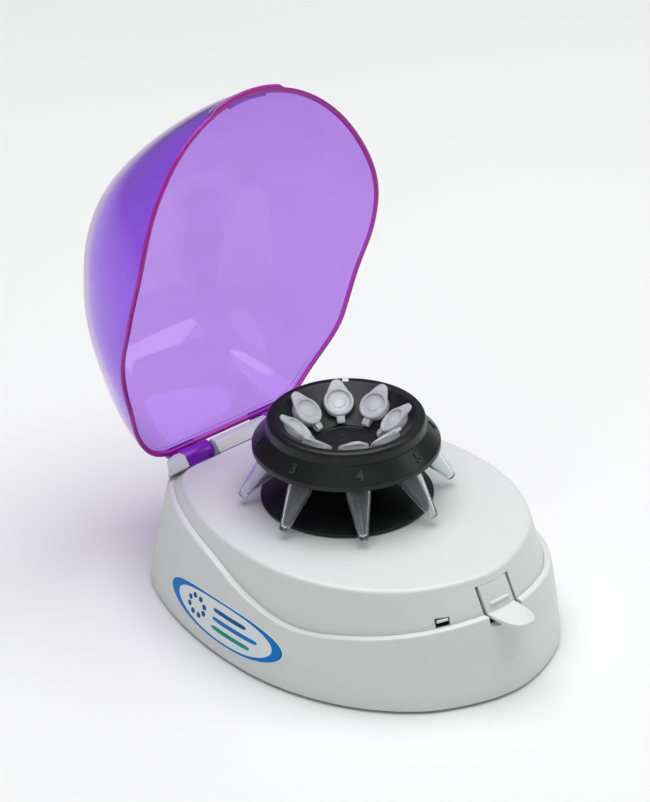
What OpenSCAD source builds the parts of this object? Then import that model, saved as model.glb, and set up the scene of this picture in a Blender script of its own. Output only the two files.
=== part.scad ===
// Mini centrifuge with an eight-place fixed-angle rotor and a hinged clear lid.
// Frame: Z is the rotor axis, Z = 0 is the underside of the base, -Y is the latch side and +Y the hinge side.
// The lid is drawn open, as it rests.

/* [Housing] */
// Largest half width of the housing at the bottom
base_half_w = 73.5; // [70:0.5:80]
// Reach of the bottom edge in front of the widest line
base_front = 92.3; // [88:0.1:98]
// Largest half width at the lid seam
seam_half_w = 70.5; // [68:0.5:73]
// Reach of the seam in front of the widest line
seam_front = 83.2; // [80:0.1:86]
// Largest half width of the flat deck
deck_half_w = 64.6; // [62:0.1:66]
// Reach of the deck in front of the widest line
deck_front = 76.4; // [74:0.1:78]
// Height of the deck
deck_z = 51; // [49.5:0.5:52]
// Wall thickness of the mouldings
wall = 2.4; // [2:0.1:3]
// Width of the ledge that the lid stands on
ledge_w = 3.1; // [2.8:0.1:3.6]
// How far the feet stand below the base
foot_proud = 1; // [0.8:0.1:1.6]

/* [Lid] */
// Opening angle at rest
lid_open = 89; // [0:1:89]
// Height of the closed lid
lid_top = 112; // [110:1:117]
// Wall thickness of the lid
lid_wall = 2.4; // [2:0.1:2.6]
// Hinge axis behind the rotor axis
hinge_y = 73.3; // [73:0.1:74]
// Height of the hinge axis
hinge_z = 49.8; // [49.4:0.1:50.2]
// Hinge pin radius
pin_r = 1.25; // [1:0.05:1.5]

/* [Rotor] */
// Outer radius of the rotor's flange
rotor_r = 40.4; // [39:0.1:41]
// Number of tube places
places = 8; // [8:1:8]
// Tilt of the tubes from upright
tube_tilt = 40; // [38:1:42]
// Angle of the first tube from the front
first_place = 11.4; // [0:0.1:44]
// Radius of a tube's straight part
tube_r = 5.3; // [5:0.1:5.4]
// Radius of the motor shaft
shaft_r = 2.5; // [2:0.1:3]

/* [Latch and switches] */
// Width of the latch tongue
tongue_w = 16; // [14:0.5:17]
// Slot beside the tongue
slot_w = 1.2; // [0.8:0.1:1.6]
// Reach of the thumb tab
tab_reach = 17.5; // [16:0.5:20]

/* [Hidden] */

$fn = 64;
stations = 84;                       // steps round the housing and the lid
rail_top = 55.3;                     // top of the hinge rail
foot_edge = 1.2;                     // height of the chamfer round the bottom
seam_edge = 0.8;                     // depth of the chamfer along the seam
plate_t = 3;                         // thickness of the base plate
// Height of the seam every 20 degrees from the front round to the rear
seam_heights = [36.8, 35.2, 31.8, 29.4, 34.6, 42.6, 45.9, 46.8, 46.8, 46.8];

// Outlines: [half width, widest line y, reach in front, reach behind, rear edge y]
base_outline = [base_half_w, -12, base_front, 122, 76];
seam_outline = [seam_half_w, -15, seam_front, 107, 73];
deck_outline = [deck_half_w, -12, deck_front, 97, 66.5];
corner_blend = 9;                    // how softly an outline turns into its rear edge

function inset(o, d) = [o[0] - d, o[1], o[2] - d, o[3] - d, o[4] - d];
function soft_min(v, limit) = let (h = max(corner_blend - abs(v - limit), 0) / corner_blend)
    min(v, limit) - h * h * corner_blend / 4;
function outline_pt(o, t) = [o[0] * sin(t), soft_min(o[1] - cos(t) * (cos(t) > 0 ? o[2] : o[3]), o[4])];
function outline(o, n) = [for (i = [0:n - 1]) outline_pt(o, 360 * i / n)];
function bearing_of(p) = abs(atan2(p[0], -p[1]));
function spline(a, b, c, d, u) = 0.5 * (2 * b + (c - a) * u + (2 * a - 5 * b + 4 * c - d) * u * u
    + (3 * b - a - 3 * c + d) * u * u * u);
function seam_at(deg) = let (k = min(floor(deg / 20), 8), h = seam_heights)
    spline(h[k == 0 ? 1 : k - 1], h[k], h[k + 1], h[min(k + 2, 9)], deg / 20 - k);
function seam_z(t) = seam_at(bearing_of(outline_pt(seam_outline, t)));

// A point of an outline, inset by d, at height z
function at(o, d, t, z) = let (p = outline_pt(inset(o, d), t)) [p[0], p[1], z];
// Part way between two outlines
function mix(a, b, k) = a * (1 - k) + b * k;

// A solid from rings of points; the rings join up or are capped
module loft(rings, loop = true) {
    n = len(rings);
    k = len(rings[0]);
    last = loop ? n - 1 : n - 2;
    sides = [for (i = [0:last], j = [0:k - 1])
        let (a = i * k + j, b = i * k + (j + 1) % k, c = ((i + 1) % n) * k + (j + 1) % k,
            d = ((i + 1) % n) * k + j)
        each [[a, b, c], [a, c, d]]];
    caps = loop ? [] : [[for (j = [k - 1:-1:0]) j], [for (j = [0:k - 1]) (n - 1) * k + j]];
    polyhedron(points = [for (r = rings) each r], faces = concat(sides, caps), convexity = 8);
}

// A bent round wire through points
module wire(path, r, sides = 8) {
    n = len(path);
    function dir(i) = let (d = path[min(i + 1, n - 1)] - path[max(i - 1, 0)]) d / norm(d);
    function side(d) = let (s = cross(d, abs(d[2]) < 0.9 ? [0, 0, 1] : [1, 0, 0])) s / norm(s);
    rings = [for (i = [0:n - 1]) let (d = dir(i), s = side(d), u = cross(s, d))
        [for (j = [0:sides - 1]) path[i] + r * (cos(360 * j / sides) * s + sin(360 * j / sides) * u)]];
    loft(rings, loop = false);
}

// ---- Housing ----

module lower_housing() color("gainsboro") {
    rings = [for (i = [0:stations - 1]) let (t = 360 * i / stations, zs = seam_z(t)) [
        at(base_outline, 0.8, t, 0),
        at(base_outline, 0, t, foot_edge),
        at(seam_outline, 0, t, zs - seam_edge),
        at(seam_outline, 0.6, t, zs),
        at(seam_outline, ledge_w, t, zs),
        at(seam_outline, ledge_w, t, zs - 3),
        at(base_outline, wall + 0.6, t, 0)]];
    difference() {
        loft(rings);
        // Notch under the thumb tab
        translate([-tongue_w / 2 - slot_w, -110, seam_heights[0] - 5]) cube([tongue_w + 2 * slot_w, 30, 20]);
        knuckle_notches();
        // Hole for the power inlet
        translate([inlet_x, 60, inlet_z]) rotate([-90, 0, 0]) cylinder(r = inlet_r + 0.2, h = 30);
        // Hole for the rocker switch
        translate([rocker_x - rocker_w / 2 - 0.1, 60, rocker_z - rocker_h / 2 - 0.1])
            cube([rocker_w + 0.2, 30, rocker_h + 0.2]);
    }
}

post_places = [[46, 38], [-46, 38], [40, -56], [-40, -56]];
hub_hole_r = 17;

module upper_housing() color("white") {
    skirt = ledge_w + 0.3;
    rings = [for (i = [0:stations - 1]) let (t = 360 * i / stations, zs = seam_z(t)) [
        at(seam_outline, skirt + wall, t, zs - 3),
        at(seam_outline, skirt, t, zs - 3),
        at(seam_outline, skirt, t, zs),
        at(deck_outline, 0, t, deck_z - 1.4),
        at(deck_outline, 0.4, t, deck_z - 0.4),
        at(deck_outline, 1.4, t, deck_z),
        [hub_hole_r * sin(t), -hub_hole_r * cos(t), deck_z],
        [hub_hole_r * sin(t), -hub_hole_r * cos(t), deck_z - wall],
        at(deck_outline, wall + 1.2, t, deck_z - wall)]];
    difference() {
        union() {
            loft(rings);
            for (p = post_places) translate([p[0], p[1], plate_t])
                cylinder(r = 4, h = deck_z - wall - plate_t + 0.5);
        }
        for (p = post_places) translate([p[0], p[1], 0]) cylinder(r = 1.3, h = 18);
        // Opening for the latch tongue
        translate([-tongue_w / 2 - slot_w, -110, seam_heights[0] - 6])
            cube([tongue_w + 2 * slot_w, 30, tongue_top - seam_heights[0] + 6.4]);
        // Window of the lid switch
        window_place() translate([-window_w / 2, -8, 0]) cube([window_w, 20, window_h]);
        knuckle_notches();
    }
}

// ---- Hinge ----

knuckle_w = 16.5;
knuckle_x = [-24.3, 24.3];
knuckle_r = 4.6;
rail_half = 43;
rail_front = 65;
ear_w = 4;

// Room for the lid knuckles
module knuckle_notches() for (x = knuckle_x)
    translate([x - knuckle_w / 2 - 0.4, rail_front - 0.3, hinge_z - knuckle_r - 0.4])
        cube([knuckle_w + 0.8, 20, 20]);

// Rail behind the deck that carries the hinge pins; its underside follows the slope of the upper housing
module hinge_rail() color("white") difference() {
    slope_low = seam_outline[4] - ledge_w - 0.3;
    slope_high = deck_outline[4];
    low_z = hinge_z - 2.9;
    union() {
        intersection() {
            translate([-rail_half, 0, 0]) rotate([90, 0, 90]) linear_extrude(2 * rail_half)
                polygon([
                    [slope_high - 1.3, deck_z], [rail_front + 3.2, rail_top - 0.5], [rail_front + 3.9, rail_top],
                    [hinge_y - 1.2, rail_top], [hinge_y - 0.3, rail_top - 0.9], [hinge_y - 0.3, low_z],
                    [slope_low + 0.1, low_z], [slope_high + 0.1, deck_z - 1.3],
                    [slope_high - 0.3, deck_z - 0.35]]);
            linear_extrude(80) polygon([[-rail_half, 60], [rail_half, 60], [rail_half, rail_front + 3.5],
                [rail_half - 7, hinge_y], [7 - rail_half, hinge_y], [-rail_half, rail_front + 3.5]]);
        }
        // Ears for the pins
        for (x = knuckle_x, side = [-1, 1])
            translate([x + side * (knuckle_w / 2 + 0.4 + ear_w / 2) - ear_w / 2, 0, 0])
                rotate([90, 0, 90]) linear_extrude(ear_w) polygon([[hinge_y - 3, hinge_z + 3.4],
                    [hinge_y, hinge_z + 3.4], [hinge_y + 2.4, hinge_z + 2.4], [hinge_y + 3.4, hinge_z],
                    [hinge_y + 2.4, hinge_z - 2.4], [hinge_y + 0.5, low_z], [hinge_y - 3, low_z]]);
    }
    for (x = knuckle_x) translate([x - knuckle_w / 2 - 0.4, 60, 40]) cube([knuckle_w + 0.8, 30, 30]);
    translate([-rail_half - 1, hinge_y, hinge_z]) rotate([0, 90, 0])
        cylinder(r = pin_r, h = 2 * rail_half + 2);
}

module hinge_pins() color("silver")
    for (x = knuckle_x) translate([x - knuckle_w / 2 - ear_w, hinge_y, hinge_z]) rotate([0, 90, 0])
        cylinder(r = pin_r, h = knuckle_w + 2 * ear_w);

// ---- Base plate, feet and fasteners ----

foot_places = [[48, 52], [-48, 52], [44, -66], [-44, -66]];

module base_plate() color("dimgray") difference() {
    union() {
        linear_extrude(plate_t) polygon(outline(inset(base_outline, wall + 1.5), 72));
        for (p = board_places) translate([p[0], p[1], 1]) cylinder(r = 2.6, h = board_z - 1);
    }
    for (p = post_places) translate([p[0], p[1], 0]) {
        cylinder(r = 1.7, h = 10);
        translate([0, 0, -1]) cylinder(r = 3.2, h = 2.6);
    }
    for (p = board_places) translate([p[0], p[1], 1.5]) cylinder(r = 0.9, h = 20);
    // Cooling slots
    for (i = [-3:3]) translate([i * 8 - 1.5, -40, -1]) cube([3, 24, 10]);
}

module rubber_feet() color("black")
    for (p = foot_places) translate([p[0], p[1], 0])
        rotate_extrude() polygon([[2.5, -0.5], [4, -foot_proud], [6.2, -foot_proud], [6.6, 0.4 - foot_proud],
            [6, 0], [0, 0], [0, -0.5]]);

module pan_screw(head_r, shank_r, length) {
    rotate_extrude() polygon([[0, 0], [head_r - 0.4, 0], [head_r, 0.4], [head_r, 1.4], [shank_r, 1.4],
        [shank_r, length - shank_r], [0, length]]);
}

module housing_screws() color("silver")
    for (p = post_places) translate([p[0], p[1], 0.1]) difference() {
        pan_screw(2.9, 1.3, 13);
        for (a = [0, 90]) rotate(a) translate([-1.6, -0.3, -1]) cube([3.2, 0.6, 1.7]);
    }

// ---- Rear panel ----

inlet_x = 24;
inlet_z = 15;
inlet_r = 5.6;
inlet_bore_r = 3.2;
inlet_depth = 9.5;
panel_y = 75.4;                      // rear wall at the height of the inlet

// Barrel inlet for the power adaptor
module power_inlet() color("black") translate([inlet_x, panel_y + 0.95, inlet_z])
    rotate([90, 0, 0]) difference() {
    union() {
        cylinder(r = inlet_r + 1.4, h = 0.6);
        cylinder(r = inlet_r, h = 14);
    }
    translate([0, 0, -1]) cylinder(r = inlet_bore_r, h = inlet_depth + 1);
    cylinder(r = 1, h = 20);
}

module inlet_contact() color("silver") translate([inlet_x, panel_y, inlet_z]) rotate([90, 0, 0]) {
    cylinder(r = 1, h = 12);
    translate([-0.9, -0.3, 10]) cube([1.8, 0.6, 8]);
}

module inlet_nut() color("silver") translate([inlet_x, panel_y - 4.2, inlet_z])
    rotate([90, 0, 0]) difference() {
    cylinder(r = 8, h = 2.2, $fn = 6);
    translate([0, 0, -1]) cylinder(r = inlet_r, h = 5);
}

rocker_x = -24;
rocker_z = 16;
rocker_w = 13;
rocker_h = 19;
rocker_tilt = 9;

module rocker_frame() color("black") translate([rocker_x, panel_y, rocker_z]) difference() {
    union() {
        translate([-rocker_w / 2 - 1, 0.5, -rocker_h / 2 - 1]) cube([rocker_w + 2, 1, rocker_h + 2]);
        translate([-rocker_w / 2, -14, -rocker_h / 2]) cube([rocker_w, 15, rocker_h]);
    }
    translate([-rocker_w / 2 + 1.2, -7, -rocker_h / 2 + 1.2]) cube([rocker_w - 2.4, 12, rocker_h - 2.4]);
    translate([-rocker_w / 2 - 1, -3, 0]) rotate([0, 90, 0]) cylinder(r = 1 + running_gap, h = rocker_w + 2);
}

module rocker_button() color("black") translate([rocker_x, panel_y - 3, rocker_z])
    rotate([-rocker_tilt, 0, 0])
    {
        translate([-rocker_w / 2 + 1.5, 0, 0]) rotate([90, 0, 90]) linear_extrude(rocker_w - 3)
            polygon([[-1.4, -2], [2.6, -6.9], [5.9, -7.3], [4.6, 0], [5.9, 7.3], [2.6, 6.9], [-1.4, 2]]);
        // Lugs that it rocks on
        translate([-rocker_w / 2, 0, 0]) rotate([0, 90, 0]) cylinder(r = 1, h = rocker_w);
    }

// ---- Flank badge ----

// A point of the lower housing's outside, at height z
function flank(t, z) = mix(at(base_outline, 0, t, z), at(seam_outline, 0, t, z),
    (z - foot_edge) / (seam_z(t) - seam_edge - foot_edge));

// Oval badge lying on the left flank
module flank_badge() color("deepskyblue") {
    half_h = 10.4;
    mid_z = 16.75;
    steps = 28;
    t_mid = -96.6;
    t_half = 21.5;
    rings = [for (i = [0:steps]) let (
        u = cos(180 - 180 * i / steps) * 0.999,
        t = t_mid + t_half * u,
        h = max(half_h * sqrt(1 - u * u), 0.25),
        proud = [sin(t), -cos(t), 0])
        [flank(t, mid_z - h) + 0.02 * proud, flank(t, mid_z - h) + 0.35 * proud,
            flank(t, mid_z) + 0.35 * proud, flank(t, mid_z + h) + 0.35 * proud,
            flank(t, mid_z + h) + 0.02 * proud, flank(t, mid_z) + 0.02 * proud]];
    loft(rings, loop = false);
}

// ---- Latch and lid switch ----

tongue_top = 47;
tongue_lean = 24;
tongue_t = 2.2;
tongue_y = -89.6;                    // hinge line of the tongue, at tongue_top
tongue_l = 12.8;

// Flexing tongue with its catch ridge and the thumb tab
module latch_tongue() color("white") {
    translate([0, tongue_y, tongue_top]) rotate([-tongue_lean, 0, 0]) {
        translate([-tongue_w / 2, -0.7, -tongue_l]) cube([tongue_w, tongue_t, tongue_l - 0.3]);
        // Catch ridge
        translate([-5, -0.7, -8.2]) rotate([0, 90, 0]) cylinder(r = 0.8, h = 10);
    }
    // Thumb tab
    translate([0, -93.8, seam_heights[0] - 2.1]) linear_extrude(2) intersection() {
        scale([1, tab_reach / (tongue_w / 2)]) circle(r = tongue_w / 2);
        translate([-20, -40]) square([40, 40]);
    }
}

window_w = 6.4;
window_h = 3.8;
window_deg = -17;

module window_place() rotate(window_deg) translate([0, -91.3, 35.2]) children();

// Plunger that the closed lid presses
module switch_plunger() color("gainsboro") window_place()
    translate([-window_w / 2 + 0.5, 0.6, window_h - 2.2]) cube([window_w - 1, 12, 1.9]);

// Switch with a dark nose that lines the window
module lid_switch() color("black") window_place() difference() {
    union() {
        translate([-6.5, 8.5, -3.4]) cube([13, 10, 10]);
        translate([-window_w / 2 + 0.1, 0.5, 0.1]) cube([window_w - 0.2, 9, window_h - 0.2]);
    }
    translate([-window_w / 2 + 0.35, 0, 0.4]) cube([window_w - 0.7, 16.5, window_h - 0.6]);
}

// ---- Motor ----

motor_r = 15;
motor_h = 30;
motor_top = 42;
motor_low = motor_top - motor_h;
bearing_r = 5;
running_gap = 0.05;

module motor_can() color("silver") translate([0, 0, motor_low]) rotate_extrude()
    polygon([[bearing_r, 0], [motor_r - 1, 0], [motor_r, 1], [motor_r, motor_h - 2.2],
        [motor_r - 1.2, motor_h - 2.2],
        [motor_r - 1.2, 1.6], [bearing_r, 1.6]]);

module motor_cap() color("gray") translate([0, 0, motor_top - 2.2]) difference() {
    rotate_extrude() polygon([[bearing_r, 0], [motor_r, 0], [motor_r, 1.4], [motor_r - 0.8, 2.2],
        [bearing_r, 2.2]]);
    for (a = [60:120:300]) rotate(a) translate([9.5, 0, -1]) cylinder(r = 1.2, h = 4);
}

module motor_magnets() color("dimgray") translate([0, 0, motor_low + 5]) for (a = [0, 180]) rotate(a)
    rotate([0, 0, -70]) rotate_extrude(angle = 140) translate([10.6, 0]) square([motor_r - 1.2 - 10.6, 18]);

module bearing() difference() {
    cylinder(r = bearing_r, h = 3);
    translate([0, 0, -1]) cylinder(r = shaft_r + running_gap, h = 5);
}

module upper_bearing() color("goldenrod") translate([0, 0, motor_top - 2.6]) bearing();
module lower_bearing() color("goldenrod") translate([0, 0, motor_low - 0.6]) bearing();
module motor_shaft() color("silver") translate([0, 0, motor_low - 2])
    cylinder(r = shaft_r, h = shaft_top - motor_low + 2);

module motor_armature() color("peru") translate([0, 0, motor_low + 6.5]) difference() {
    union() {
        cylinder(r = 10, h = 15);
        translate([0, 0, -4]) cylinder(r = 5.2, h = 4);
    }
    translate([0, 0, -6]) cylinder(r = shaft_r, h = 30);
    for (a = [0:72:288]) rotate(a) translate([8.4, -0.8, -1]) cube([3, 1.6, 20]);
}

bracket_r = 24;

// Plate between the motor and its rubber dampers
module motor_bracket() color("lightgray") translate([0, 0, motor_top]) difference() {
    union() {
        cylinder(r = 18, h = 1.6);
        for (a = [0:120:240]) rotate(a) translate([0, -6, 0]) cube([bracket_r + 4, 12, 1.6]);
    }
    translate([0, 0, -1]) cylinder(r = 7, h = 4);
    for (a = [0:120:240]) rotate(a) translate([bracket_r, 0, -1]) cylinder(r = 2.6, h = 4);
    for (a = [60:120:300]) rotate(a) translate([9.5, 0, -1]) cylinder(r = 1.4, h = 4);
}

module damper_rings() color("black") for (a = [0:120:240]) rotate(a) translate([bracket_r, 0, motor_top - 2])
    rotate_extrude() polygon([[1.6, 0], [4.2, 0], [4.2, 2], [2.6, 2], [2.6, 3.6], [4.2, 3.6],
        [4.2, deck_z - wall - motor_top + 2], [1.6, deck_z - wall - motor_top + 2]]);

module bracket_screws() color("silver") {
    for (a = [0:120:240]) rotate(a) translate([bracket_r, 0, motor_top - 3.4]) pan_screw(3, 1.4, 9.6);
    for (a = [60:120:300]) rotate(a) translate([9.5, 0, motor_top + 3]) mirror([0, 0, 1])
        pan_screw(2, 1.1, 5.2);
}

// ---- Electronics ----

board_z = 7;
board_mid = [0, 44];
board_w = 46;
board_d = 26;
board_places = [for (x = [-19, 19], y = [-9, 9]) [board_mid[0] + x, board_mid[1] + y]];

module control_board() color("seagreen") difference() {
    translate([board_mid[0] - board_w / 2, board_mid[1] - board_d / 2, board_z])
        cube([board_w, board_d, 1.6]);
    for (p = board_places) translate([p[0], p[1], board_z - 1]) cylinder(r = 1.2, h = 4);
}

module board_parts() color("dimgray") translate([board_mid[0], board_mid[1], board_z + 1.6]) {
    translate([-8, 2, 0]) cylinder(r = 4, h = 9);
    translate([3, -6, 0]) cube([8, 8, 2]);
    translate([-14, -10, 0]) cube([8, 5, 6]);
    translate([6, 6, 0]) cube([8, 5, 6]);
    translate([0, -10, 0]) cube([2, 1.2, 0.8]);
    translate([12, -3, 0]) cube([4, 2.4, 1.2]);
}

module board_screws() color("silver") for (p = board_places)
    translate([p[0], p[1], board_z + 3]) mirror([0, 0, 1]) pan_screw(1.9, 0.9, 7);

module wiring() color("firebrick") {
    wire([[24, 56.8, 15], [23, 55, 15.5], [20, 53.5, 16.5], [15, 52.5, 17], [11, 52.5, 16.6],
        [10, 52.5, 15.1]],
        0.8);
    wire([[-24, 60.4, 16], [-22, 56, 16.5], [-17, 50, 16.8], [-12, 43, 17], [-10.5, 37.5, 16.6],
        [-10, 36.6, 15.1]],
        0.8);
    wire([[-4, 15.4, 15], [-5, 19, 15.5], [-7, 26, 16.2], [-9, 32, 16.4], [-11, 35.4, 16.4],
        [-11.8, 36, 15.1]], 0.8);
}

// ---- Rotor ----

bowl_floor_r = 14.5;
bowl_floor_z = 77;
seat_r = 21.95;                      // where a tube axis crosses the bowl's cone
seat_z = 83.4;
crest_z = 90;
shaft_top = 73;
hub_joint_z = 62.4;                  // where the head stands on the skirt

module at_place(i) rotate(first_place + 45 * i) rotate([0, 0, -90]) translate([seat_r, 0, seat_z])
    rotate([0, -tube_tilt, 0]) children();

// Bowl, crest and sloping flange in one black moulding
module rotor_head() color("black") difference() {
    rotate_extrude($fn = 96) polygon([
        [shaft_r, hub_joint_z], [9, hub_joint_z], [9.6, hub_joint_z + 3], [13, bowl_floor_z - 5.5],
        [31, 78.6], [35, 77.4], [38.6, 75.8], [39.6, 75.3], [rotor_r - 0.1, 75.7], [rotor_r, 76.7],
        [rotor_r - 0.2, 78],
        [rotor_r - 0.9, 79], [34.6, 84.6], [34, 85.6], [33.7, 88], [33, 89.3], [31.8, crest_z],
        [30.8, crest_z - 0.1],
        [29.6, 89.6], [bowl_floor_r, bowl_floor_z], [bowl_floor_r - 1.4, bowl_floor_z - 0.2],
        [0, bowl_floor_z - 0.2], [0, shaft_top + 0.4], [shaft_r, shaft_top + 0.4]]);
    for (i = [0:places - 1]) at_place(i) {
        translate([0, 0, -30]) cylinder(r = tube_r + 0.1, h = 40);
        cylinder(r = cap_r + 0.25, h = 8);
    }
}

// Shallow skirt below the tubes, over the hole in the deck
module rotor_skirt() color("black") rotate_extrude($fn = 96) polygon([
    [shaft_r, 54], [14, 53.4], [30, 52.4], [36.6, 51.5], [37.2, 51.8], [37.2, 52.4], [36.8, 52.8], [30, 55.2],
    [20, 58.6],
    [12, 61.6], [10, hub_joint_z], [shaft_r, hub_joint_z]]);

// Tube along its own axis, lip at zero and tip below
cap_r = 6.5;
tab_tip = 10.2;
tab_r = 2.8;
tip_l = 37.1;

module tube_shape() {
    rotate_extrude() polygon([[0, 2], [4.4, 2], [4.4, -1.5], [tube_r - 0.9, -17.5], [1.4, -34.6], [0, -35.6],
        [0, -tip_l],
        [0.9, -tip_l + 0.2], [1.7, -tip_l + 0.9], [2.1, -tip_l + 2], [tube_r, -18.5], [tube_r, 0],
        [cap_r - 0.1, 0], [cap_r - 0.1, 1.6], [cap_r, 1.7], [cap_r, 3.4], [cap_r - 0.5, 3.6],
        [4.6, 3.6], [4.3, 3.1], [0, 3.1]]);
    // Opening tab
    tangent = acos((cap_r - tab_r) / (tab_tip - tab_r));
    translate([0, 0, 2]) linear_extrude(1.3) difference() {
        polygon(concat([for (i = [-4:4])
            [tab_tip - tab_r + tab_r * cos(i * tangent / 4), tab_r * sin(i * tangent / 4)]],
            [[cap_r * cos(tangent), cap_r * sin(tangent)], [0, cap_r - 0.5], [0, 0.5 - cap_r],
            [cap_r * cos(tangent), -cap_r * sin(tangent)]]));
        circle(r = cap_r - 0.6);
    }
    // Hinge strap
    translate([-cap_r - 3.2, -1.8, 2]) cube([4, 3.6, 0.6]);
    translate([-cap_r - 3.4, -1.8, 0.4]) cube([0.7, 3.6, 2.2]);
    translate([-cap_r - 3.2, -1.8, 0.4]) cube([4, 3.6, 0.6]);
}

module tube(i) color("lavender") at_place(i) tube_shape();

// ---- Lid ----

dome_mid = -9.5;                     // y of the dome's highest point
// How the dome narrows with height: [width power, height power]
front_curve = [1.76, 1.22];
side_curve = [2.77, 1.42];
rear_curve = [3.16, 1.2];
dome_rings = 15;
rear_rise_from = 118;
rear_rise_to = 147;

function ease(v) = let (u = min(max(v, 0), 1)) u * u * (3 - 2 * u);
function lid_rim_z(t) = let (deg = bearing_of(outline_pt(seam_outline, t)))
    seam_at(deg) + 0.3 + (rail_top - seam_heights[9] + 0.1)
        * ease((deg - rear_rise_from) / (rear_rise_to - rear_rise_from));
function dome_pt(skin, t, h) = let (
    c = cos(t),
    f = c > 0 ? c * c : 0,
    r = c < 0 ? c * c : 0,
    pq = f * front_curve + r * rear_curve + (1 - f - r) * side_curve,
    s = pow(max(1 - pow(h, pq[1]), 0), 1 / pq[0]),
    p = outline_pt(inset(seam_outline, skin), t),
    z = lid_rim_z(t))
    [p[0] * s, dome_mid + (p[1] - dome_mid) * s, z + (lid_top - skin - z) * h];
function dome_ring(skin, h) = [for (i = [0:stations - 1]) dome_pt(skin, 360 * i / stations, h)];

module open_lid() translate([0, hinge_y, hinge_z]) rotate([-lid_open, 0, 0])
    translate([0, -hinge_y, -hinge_z]) children();

// Clear dome, one thin moulding
module lid_dome() color("mediumpurple", 0.5) open_lid() {
    n = stations;
    heights = [for (i = [0:dome_rings]) sin(90 * i / (dome_rings + 1))];
    outer = [for (h = heights) each dome_ring(0, h)];
    inner = [for (h = heights) each dome_ring(lid_wall, h)];
    tips = [[0, dome_mid, lid_top], [0, dome_mid, lid_top - lid_wall]];
    m = dome_rings;
    k = (m + 1) * n;
    skin = [for (i = [0:m - 1], j = [0:n - 1]) let (a = i * n + j, b = i * n + (j + 1) % n) each
        [[a, a + n, b + n], [a, b + n, b], [k + a, k + b + n, k + a + n], [k + a, k + b, k + b + n]]];
    rim = [for (j = [0:n - 1]) let (b = (j + 1) % n) each [[j, b, k + b], [j, k + b, k + j]]];
    top = [for (j = [0:n - 1]) let (b = (j + 1) % n) each
        [[m * n + j, 2 * k, m * n + b], [k + m * n + j, k + m * n + b, 2 * k + 1]]];
    polyhedron(points = concat(outer, inner, tips), faces = concat(skin, rim, top), convexity = 6);
}

lip_steps = 4;                       // stations of the lip on each side of the middle
lip_t = 1.4;

// Straight outwards at a station
function out(i) = let (t = 360 * i / stations) [sin(t), -cos(t), 0];

// Thicker lip over the latch
module lid_lip() color("mediumpurple", 0.6) open_lid() {
    loft([for (i = [-lip_steps:lip_steps]) let (
        p = dome_pt(0, 360 * i / stations, 0),
        q = dome_pt(0, 360 * i / stations, 0.04))
        [p + 0.02 * out(i), p + lip_t * out(i), q + 0.8 * lip_t * out(i), q + 0.02 * out(i)]], loop = false);
    // Catch rib under the latch ridge
    loft([for (i = [-1:1]) let (p = dome_pt(lid_wall, 360 * i / stations, 0.004), o = out(i))
        [p - 0.15 * o, p - 0.4 * o + [0, 0, 0.6], p - 0.7 * o + [0, 0, 0.6], p - 0.7 * o]], loop = false);
}

// Barrels that turn on the hinge pins, with the arms that carry the dome
module lid_knuckles() color("mediumpurple", 0.6) open_lid() for (x = knuckle_x) difference() {
    union() {
        translate([x - knuckle_w / 2, hinge_y, hinge_z]) rotate([0, 90, 0])
            cylinder(r = knuckle_r, h = knuckle_w);
        translate([x - knuckle_w / 2, hinge_y - 0.28, hinge_z])
            cube([knuckle_w, 2.4, rail_top - hinge_z + 7]);
    }
    translate([x - knuckle_w, hinge_y, hinge_z]) rotate([0, 90, 0])
        cylinder(r = pin_r + running_gap, h = 2 * knuckle_w);
}

lower_housing();
upper_housing();
hinge_rail();
base_plate();
rubber_feet();
housing_screws();
hinge_pins();
flank_badge();
power_inlet();
inlet_contact();
inlet_nut();
rocker_frame();
rocker_button();
lid_switch();
switch_plunger();
latch_tongue();
motor_can();
motor_cap();
motor_magnets();
upper_bearing();
lower_bearing();
motor_shaft();
motor_armature();
motor_bracket();
damper_rings();
bracket_screws();
control_board();
board_parts();
board_screws();
wiring();
rotor_head();
rotor_skirt();
lid_dome();
lid_lip();
lid_knuckles();
tube(0);  // tube_1
tube(1);  // tube_2
tube(2);  // tube_3
tube(3);  // tube_4
tube(4);  // tube_5
tube(5);  // tube_6
tube(6);  // tube_7
tube(7);  // tube_8
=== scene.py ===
import bmesh
import bpy
import math
from mathutils import Matrix, Vector


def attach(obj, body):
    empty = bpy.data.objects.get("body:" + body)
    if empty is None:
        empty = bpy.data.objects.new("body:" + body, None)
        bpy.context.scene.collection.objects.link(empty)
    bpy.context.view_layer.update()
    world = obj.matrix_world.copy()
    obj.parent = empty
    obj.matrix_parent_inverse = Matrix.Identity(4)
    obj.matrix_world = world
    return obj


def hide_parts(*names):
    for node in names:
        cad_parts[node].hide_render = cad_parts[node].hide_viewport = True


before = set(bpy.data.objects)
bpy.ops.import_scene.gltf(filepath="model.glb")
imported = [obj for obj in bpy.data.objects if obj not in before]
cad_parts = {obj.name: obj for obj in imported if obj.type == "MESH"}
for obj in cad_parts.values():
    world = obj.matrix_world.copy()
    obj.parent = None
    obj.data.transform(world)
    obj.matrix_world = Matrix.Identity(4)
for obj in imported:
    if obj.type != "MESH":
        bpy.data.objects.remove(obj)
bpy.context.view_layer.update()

MM = 0.001
rad = math.radians
scene = bpy.context.scene
scene.view_settings.view_transform = "Standard"

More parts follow.
